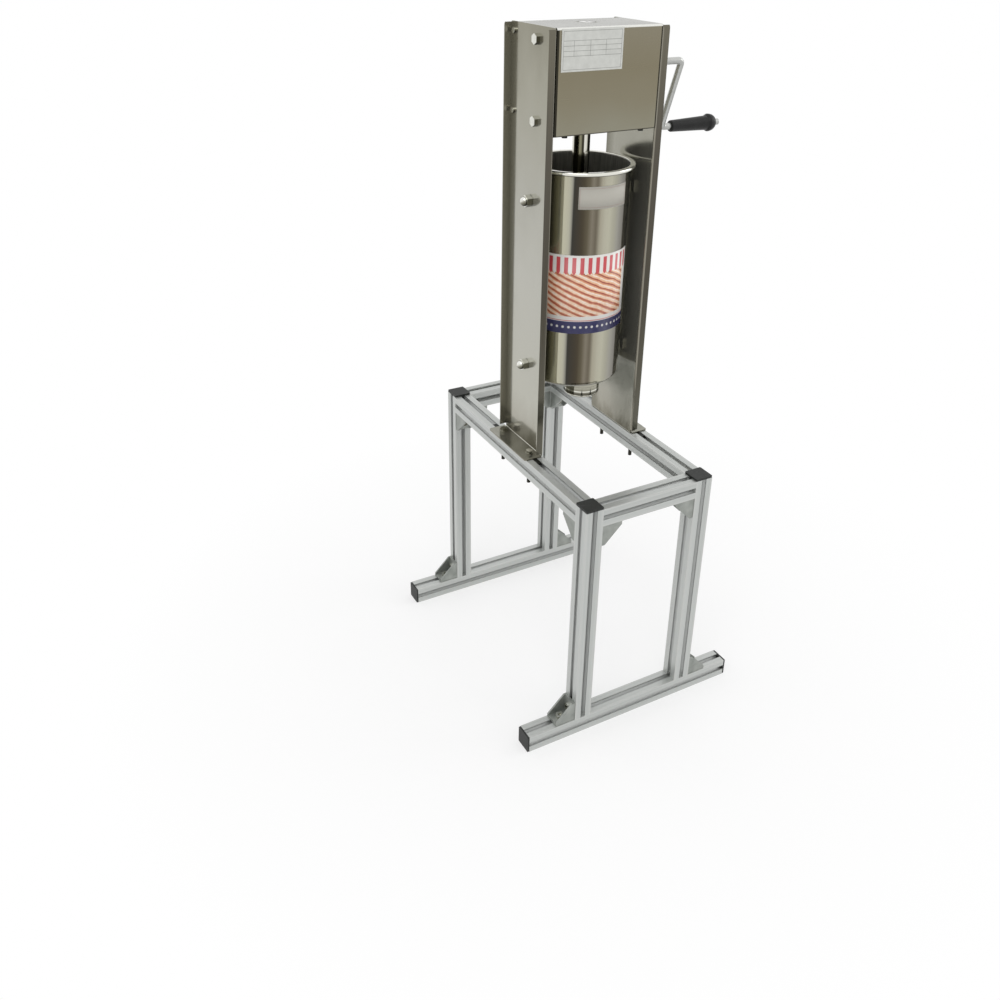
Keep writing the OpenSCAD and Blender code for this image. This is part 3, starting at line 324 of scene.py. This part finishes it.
# Painted shade line along the lowest edge.
base = (1 - level.above(low.z + lower_shade_edge_width, 0.0008)).mixed(base, rgb("45423a"))
surface.feed("Base Color", base)
surface.feed("Roughness", 0.22 + grain * 0.08)
surface.feed("Metallic", 1 - top * 0.85)
surface.bump(grain, 0.00002, 0.25)
surface.dress("gearbox_cover", "gearbox_back", "gearbox_bottom")

# Guide bars, bearing plate, bushes of the rod, pins and the rack shaft. Machined steel,
# lightly oiled, with the marks of the mill.
surface = Surface("machined_steel", 1.0, 0.32)
mill = surface.place.noise(60, (1, 12, 1))
surface.feed("Base Color", mill.ramp((0.3, "7d7d76"), (0.7, "a4a49c")))
surface.feed("Roughness", 0.26 + mill * 0.14)
surface.bump(mill, 0.00006, 0.5)
surface.dress("top_guide", "bottom_guide", "bearing_plate", "idler_pin", "rack_shaft", "top_bush",
    "bottom_bush")

# Bushes of the crank and the shaft. Sintered bronze, oiled, speckled with its pores,
# pressed into the right panel and the bearing plate, and one fixed on the left panel.
surface = Surface("sintered_bronze", 1.0, 0.4)
pores = surface.place.noise(1500, detail=2)
surface.feed("Base Color", pores.above(0.6, 0.1).mixed(rgb("b59263"), rgb("6e5434")))
surface.feed("Roughness", 0.3 + pores * 0.25)
surface.bump(pores, 0.00005, 0.5)
surface.dress("crank_bushes", "shaft_bushes")

# Gears. Hobbed steel, dark with oil in the roots. One is fixed on the crank's end and
# two on the rack shaft, and the idler runs on its pin.
surface = Surface("hobbed_steel", 1.0, 0.35)
hob = surface.place.noise(120, (8, 1, 1), 4)
surface.feed("Base Color", hob.ramp((0.3, "5c5a52"), (0.7, "94928a")))
surface.feed("Roughness", 0.25 + hob * 0.25)
surface.bump(hob, 0.00006, 0.5)
surface.dress("crank_pinion", "idler_gear", "shaft_gear", "rack_pinion")

# Nameplate. Thin silver plate printed with a frame and an empty table of fine dark
# lines, stuck on the gear box.
margin, line = 0.003, 0.0005
table_low, row_height, rows = 0.0195, 0.0065, 3
table_columns = (0.019, 0.045, 0.07)
low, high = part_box("nameplate")
plate_w, plate_h = high.x - low.x, high.z - low.z
surface = Surface("printed_plate", 0.0, 0.35)
across, _, up = surface.place.about(low).split()
inside = across.between(margin, plate_w - margin)
frame_outside = across.between(margin - line, plate_w - margin + line) \
    * up.between(margin - line, plate_h - margin + line)
ink = frame_outside - inside * up.between(margin, plate_h - margin)
for row in range(rows + 1):
    row_level = table_low + row * row_height
    ink = ink + inside * up.between(row_level, row_level + line)
for column in table_columns:
    ink = ink + up.between(table_low, table_low + rows * row_height) * across.between(column, column + line)
ink = ink.math("MINIMUM", 1.0)
worn = surface.place.noise(150, detail=4)
silver = worn.ramp((0.3, "bfc0bb"), (0.7, "cacbc6"))
surface.feed("Base Color", (ink * 0.75).mixed(silver, rgb("4a4a46")))
surface.feed("Roughness", 0.3 + worn * 0.2)
surface.dress("nameplate")

# Crank. A bent rod of zinc plated steel, satin, with faint lines from the drawing die.
# The tip of the grip's screw has the same finish.
surface = Surface("drawn_zinc_rod", 0.9, 0.3)
drawn = surface.place.noise(50, (1, 1, 4))
side, _, up = surface.facing.split()
# Painted light and shade by the face's direction: lighter on faces that look up, darker on those that look to
# the right, with the die's lines.
painted_light_and_marks = 0.5 + up * 0.16 - side * 0.2 + (drawn - 0.5) * 0.25
surface.feed("Base Color", painted_light_and_marks.ramp((0.25, "8e8f8c"), (0.5, "b7b8b5"), (0.75, "cccdca")))
surface.feed("Roughness", 0.26 + drawn * 0.1)
surface.bump(drawn, 0.00002, 0.3)
surface.dress("crank", "grip_screw")

# Grip. Black moulded plastic that spins on the rod, satin, polished by the hand.
surface = Surface("black_grip_plastic", 0.0, 0.42, specular=0.3)
skin = surface.place.noise(1800, detail=2)
hand = surface.place.noise(40)
surface.feed("Base Color", hand.ramp((0.35, "101110"), (0.65, "1b1c1b")))
surface.feed("Roughness", 0.36 + hand * 0.12)
surface.bump(skin, 0.00003, 0.5)
surface.dress("grip")

# Rack rod. Ground steel, mirror bright, painted with long dark and bright strips as a painted reflection,
# with the rack's teeth milled into its back and a centre hole in its top. Its top face is painted dark with two
# bright crescents, a painted reflection with painted highlights.


def painted_reflection_by_angle(place, centre, *tones):
    """A painted reflection: a colour by the angle round an upright axis, in degrees from the front to the
    right.
    """
    across, deep, level = place.about(centre).split()
    angle = across.math("ARCTAN2", 0 - deep)
    drift = level.node("CombineXYZ", {"X": angle * 2.0, "Y": level * 0.8}).noise(2.5)
    turned = angle * (0.5 / math.pi) + 0.5 + (drift - 0.5) * 0.012
    return turned.ramp(*(((degrees + 180) / 360, painted_light_and_marks) for degrees, painted_light_and_marks in tones))


rod_depth = 0.0055
low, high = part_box("rack_rod")
rod_axis = Vector(((low.x + high.x) / 2, rod_depth, 0))
surface = Surface("ground_rod_steel", 1.0, 0.12)
# Painted reflection: dark and bright strips by the angle round the rod.
painted_reflection_strips = painted_reflection_by_angle(surface.place, rod_axis, (-180, "8a8878"), (-128, "c9c7bb"), (-92, "dbd9ce"), (-84, "3a382e"),
    (-52, "4a4739"), (-44, "8b8872"), (-30, "77745f"), (-24, "35332a"), (-10, "403d32"), (-4, "e2e0d6"),
    (18, "cfcdc2"), (26, "37352c"), (70, "6d6a59"), (120, "a3a191"), (180, "8a8878"))
# The top face is painted dark with two bright crescents, a painted reflection with painted highlights.
from_axis = abs(surface.place.about(rod_axis).split()[0])
painted_glint_crescents = from_axis.between(0.0065, 0.0112, 0.002)
end_face = surface.facing.split()[2].above(0.7, 0.2)
surface.feed("Base Color", end_face.mixed(painted_reflection_strips, painted_glint_crescents.mixed(rgb("dededa"), rgb("5a5950"))))
surface.feed("Roughness", 0.08 + surface.place.noise(300, (1, 1, 6)) * 0.1)
surface.dress("rack_rod")

# Piston and its seal. The disc is turned from white plastic, the ring is black rubber
# in a groove round the disc.
surface = Surface("turned_white_plastic", 0.0, 0.45)
turned = surface.place.noise(200, (1, 1, 5))
surface.feed("Base Color", turned.mixed(rgb("cfcdc2"), rgb("e2e0d6")))
surface.feed("Roughness", 0.38 + turned * 0.15)
surface.bump(turned, 0.00005, 0.5)
surface.dress("piston")
surface = Surface("black_seal_rubber", 0.0, 0.6)
soft = surface.place.noise(800, detail=2)
surface.feed("Base Color", soft.mixed(rgb("1f1f1e"), rgb("30302e")))
surface.feed("Roughness", 0.5 + soft * 0.2)
surface.dress("piston_seal")

# Dough cylinder. Rolled stainless sheet, polished upright, painted with long dark
# and bright streaks from rim to floor as a painted reflection. The bead under the rim has a painted highlight
# above a painted shade line. Its lugs are welded on, its inside is plainer.
cylinder_low, cylinder_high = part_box("dough_cylinder")
cylinder_axis = (cylinder_low + cylinder_high) / 2 * Vector((1, 1, 0))
wall_radius, rim_height = 0.075, 0.006
surface = Surface("polished_cylinder_steel", 1.0, 0.1)
# Painted reflection: dark and bright streaks by the angle round the wall.
painted_reflection_streaks = painted_reflection_by_angle(surface.place, cylinder_axis, (-180, "8d8a76"), (-150, "a5a390"), (-120, "77756a"),
    (-90, "605e53"), (-72, "605d51"), (-63, "757260"), (-57, "918e7a"), (-50, "bcb9a3"), (-43, "b2b09e"),
    (-40, "97958a"), (-38, "3a3934"), (-30, "443e34"), (-26, "4a4336"), (-21, "605949"), (-17, "7f786a"),
    (-12, "665f51"), (-7, "a29d8c"), (-1, "b0ad9c"), (5, "b4b2a0"), (11, "a4a292"), (19, "95938a"),
    (27, "75726a"), (40, "66645a"), (70, "77756a"), (120, "77756a"), (150, "a19f8c"), (180, "8d8a76"))
across, deep, level = surface.place.about(cylinder_axis).split()
radius = (across * across + deep * deep).math("SQRT")
inside = 1 - radius.above(wall_radius - 0.0008)
fine = surface.place.noise(60, (6, 6, 0.4), 2)
base = inside.mixed(painted_reflection_streaks, fine.ramp((0.3, "7b7a72"), (0.7, "96958c")))
# The rim's bead is painted with a bright band above a dark line, a painted highlight and a painted shade.
bead_low = cylinder_high.z - rim_height
bead = level.above(bead_low - 0.0002, 0.0003) * (1 - inside)
painted_bead_light_and_shade = level.above(bead_low + 0.0014, 0.0012).mixed(rgb("4a483e"), rgb("e3e2d9"))
surface.feed("Base Color", bead.mixed(base, painted_bead_light_and_shade))
surface.feed("Roughness", 0.07 + fine * 0.07 + inside * 0.2)
surface.feed("Metallic", 0.9 - inside * 0.35)
surface.bump(fine, 0.00002, 0.15)
surface.dress("dough_cylinder", "cylinder_lugs")

# Outlet. The neck, its nut and the nozzle are turned from stainless bar and mirror
# polished, painted with dark and bright rings by height as a painted reflection, and with a painted highlight
# on the faces that look up.
low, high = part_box("nozzle_nut")
surface = Surface("mirror_polished_steel", 1.0, 0.06)
up = surface.facing.split()[2]
level = (surface.place.split()[2] - low.z) / (high.z - low.z)
# Painted reflection: dark and bright rings by height, and a painted highlight on faces that look up.
painted_reflection_rings = level.ramp((0.0, "34332b"), (0.1, "5b594d"), (0.2, "d9d7cc"), (0.32, "4a483d"), (0.5, "77756a"),
    (0.62, "e4e3d9"), (0.7, "8b897c"), (0.95, "a5a395"))
surface.feed("Base Color", up.above(0.75, 0.2).mixed(painted_reflection_rings, rgb("dedcd2")))
surface.feed("Roughness", 0.04 + surface.place.noise(400, (0.05, 0.05, 1), 2) * 0.06)
surface.dress("outlet_neck", "nozzle_nut", "nozzle")

# Wrap label. A printed vinyl sheet on the cylinder's front, with a plain shop design: an
# awning of red and white stripes above, slanting tan ridges, and a navy band of dots.


def wrapped_sheet(name, first, last, z0, z1, thickness):
    """A thin sheet on the cylinder's wall, between two angles from the front, in degrees."""
    mesh = bmesh.new()
    start = math.radians(first)
    point = cylinder_axis + Vector((math.sin(start), -math.cos(start), 0)) * (wall_radius + 0.00005)
    ends = [mesh.verts.new((point.x, point.y, z)) for z in (z0, z1)]
    edge = mesh.edges.new(ends)
    steps = int((last - first) / 2)
    bmesh.ops.spin(mesh, geom=ends + [edge], cent=cylinder_axis, axis=(0, 0, 1),
        angle=math.radians(last - first), steps=steps, use_merge=False)
    bmesh.ops.recalc_face_normals(mesh, faces=mesh.faces)
    mesh.faces.ensure_lookup_table()
    outward = (mesh.faces[0].calc_center_median() - cylinder_axis) * Vector((1, 1, 0))
    if mesh.faces[0].normal.dot(outward) < 0:
        bmesh.ops.reverse_faces(mesh, faces=mesh.faces)
    bmesh.ops.solidify(mesh, geom=mesh.faces, thickness=-thickness)
    data = bpy.data.meshes.new(name)
    mesh.to_mesh(data)
    mesh.free()
    for face in data.polygons:
        face.use_smooth = abs(face.normal.z) < 0.5 and face.area > 1e-6
    piece = bpy.data.objects.new(name, data)
    bpy.context.scene.collection.objects.link(piece)
    return piece


def around(place):
    """Wires on the distance along the wall from the front, and on the height."""
    across, deep, level = place.about(cylinder_axis).split()
    return across.math("ARCTAN2", 0 - deep) * wall_radius, level


stripe_pair, hem_level, scallop_depth = 0.012, 0.7265, 0.004
ridge_pitch, groove_pitch, slant = 0.0095, 0.0031, 0.45
picture_low, picture_high, picture_left, picture_right = 0.6565, 0.7325, -0.098, 0.046
band_top, dot_pitch, dot_level = 0.6485, 0.009, 0.6395
label_low, label_high, top_trim = 0.629, 0.752, 0.0035
label = wrapped_sheet("wrap_label", -92, 46, label_low, label_high, 0.00025)
surface = Surface("printed_vinyl", 0.0, 0.3, coat=0.3)
along, level = around(surface.place)
print_tone = surface.place.noise(900, detail=2)
white = print_tone.mixed(rgb("dcd9d4"), rgb("e8e6e2"))
red, navy = rgb("c2434a"), rgb("2b2a5e")
stripes = (along * (2 * math.pi / stripe_pair)).sine()
awning = stripes.above(0.0, 0.15).mixed(white, red)
hung = (level - (hem_level - abs(stripes) * scallop_depth)).above(0.0)
crumb = surface.place.noise(150, detail=5, roughness=0.65)
swell = surface.place.noise(35, detail=2)
slope = along * slant + level + swell * 0.006
ridge = abs((slope * (math.pi / ridge_pitch)).sine())
groove = abs((slope * (math.pi / groove_pitch)).sine())
rolls = (ridge * 0.62 + groove * 0.14 + crumb * 0.42).ramp((0.2, "6e2f26"), (0.4, "a9503c"), (0.62, "cf8f6a"),
    (0.8, "e2b894"), (0.98, "efe2d8"))
picture = along.between(picture_left, picture_right) * level.between(picture_low, picture_high)
base = hung.mixed(picture.mixed(white, rolls), awning)
dot_u = (along * (1 / dot_pitch)).math("FRACT") - 0.5
dot_v = (level - dot_level) * (1 / dot_pitch)
dots = 1 - (dot_u * dot_u + dot_v * dot_v).above(0.05, 0.02)
band = 1 - level.above(band_top, 0.0003)
base = band.mixed(base, dots.mixed(navy, white))
trim = level.between(band_top, band_top + 0.003) + level.above(label_high - top_trim)
base = trim.mixed(base, white)
base = level.between(band_top + 0.001, band_top + 0.002, 0.0002).mixed(base, red)
surface.feed("Base Color", base)
surface.feed("Roughness", 0.26 + print_tone * 0.08)
label.data.materials.append(surface.material)
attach(label, "cylinder")

# Pale sticker above it. A plain matt paper label with a thin frame line, left blank,
# stuck a little under the cylinder's rim.
sticker = wrapped_sheet("pale_sticker", -33, 30, 0.8205, 0.853, 0.0002)
surface = Surface("sticker_paper", 0.0, 0.5)
along, level = around(surface.place)
paper = surface.place.noise(1500)
frame_line = along.between(-0.0415, 0.0375) * level.between(0.823, 0.8505) \
    - along.between(-0.041, 0.037) * level.between(0.8235, 0.85)
base = paper.mixed(rgb("aaa79d"), rgb("b7b4ab"))
surface.feed("Base Color", (frame_line * 0.5).mixed(base, rgb("9a5b50")))
surface.feed("Roughness", 0.42 + paper * 0.15)
sticker.data.materials.append(surface.material)
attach(sticker, "cylinder")

# Floor and light. A white studio floor that keeps the shadow near the machine and fades
# into the white background, a soft box above the front left and a weak one at the right.


def seen_ray(tree):
    """1 for rays of the camera, of gloss and of glass."""
    ray = tree.nodes.new("ShaderNodeLightPath").outputs
    total = Wire(tree, ray["Is Camera Ray"]) + Wire(tree, ray["Is Glossy Ray"]) \
        + Wire(tree, ray["Is Transmission Ray"])
    return total.math("MINIMUM", 1.0)


def soft_box(name, place, aim, size, power):
    """A square lamp at a place, aimed at a point."""
    data = bpy.data.lights.new(name, "AREA")
    data.shape = "SQUARE"
    data.size = size
    data.energy = power
    lamp = bpy.data.objects.new(name, data)
    lamp.location = place
    lamp.rotation_euler = (Vector(place) - Vector(aim)).to_track_quat("Z", "Y").to_euler()
    bpy.context.scene.collection.objects.link(lamp)


floor_mesh = bmesh.new()
bmesh.ops.create_grid(floor_mesh, x_segments=1, y_segments=1, size=12)
floor_data = bpy.data.meshes.new("studio_floor")
floor_mesh.to_mesh(floor_data)
floor_mesh.free()
floor = bpy.data.objects.new("studio_floor", floor_data)
bpy.context.scene.collection.objects.link(floor)
surface = Surface("white_floor", 0.0, 0.9, specular=0.0)
surface.shader.inputs["Base Color"].default_value = (0.93, 0.93, 0.93, 1)
tree = surface.tree
across, deep = surface.place.split()[:2]
distance = (across * across + deep * deep).math("SQRT")
white_part = seen_ray(tree) * (0.55 + distance.above(0.55, 0.6) * 0.45)
glow = tree.nodes.new("ShaderNodeEmission")
blend = tree.nodes.new("ShaderNodeMixShader")
tree.links.new(white_part.socket, blend.inputs["Fac"])
tree.links.new(surface.shader.outputs["BSDF"], blend.inputs[1])
tree.links.new(glow.outputs["Emission"], blend.inputs[2])
tree.links.new(blend.outputs["Shader"], tree.nodes["Material Output"].inputs["Surface"])
floor.data.materials.append(surface.material)
soft_box("key_soft_box", (-1.6, -1.9, 3.9), (0, 0, 0.5), 2.0, 28)
soft_box("side_soft_box", (2.6, -0.6, 1.8), (0, 0, 0.6), 1.6, 14)
world = bpy.data.worlds.new("studio_world")
bpy.context.scene.world = world
world.use_nodes = True
sky = world.node_tree.nodes["Background"]
sky.inputs["Color"].default_value = (1, 1, 1, 1)
world.node_tree.links.new((0.85 + seen_ray(world.node_tree) * 0.15).socket, sky.inputs["Strength"])

scene = bpy.context.scene
scene.view_settings.view_transform = "Standard"
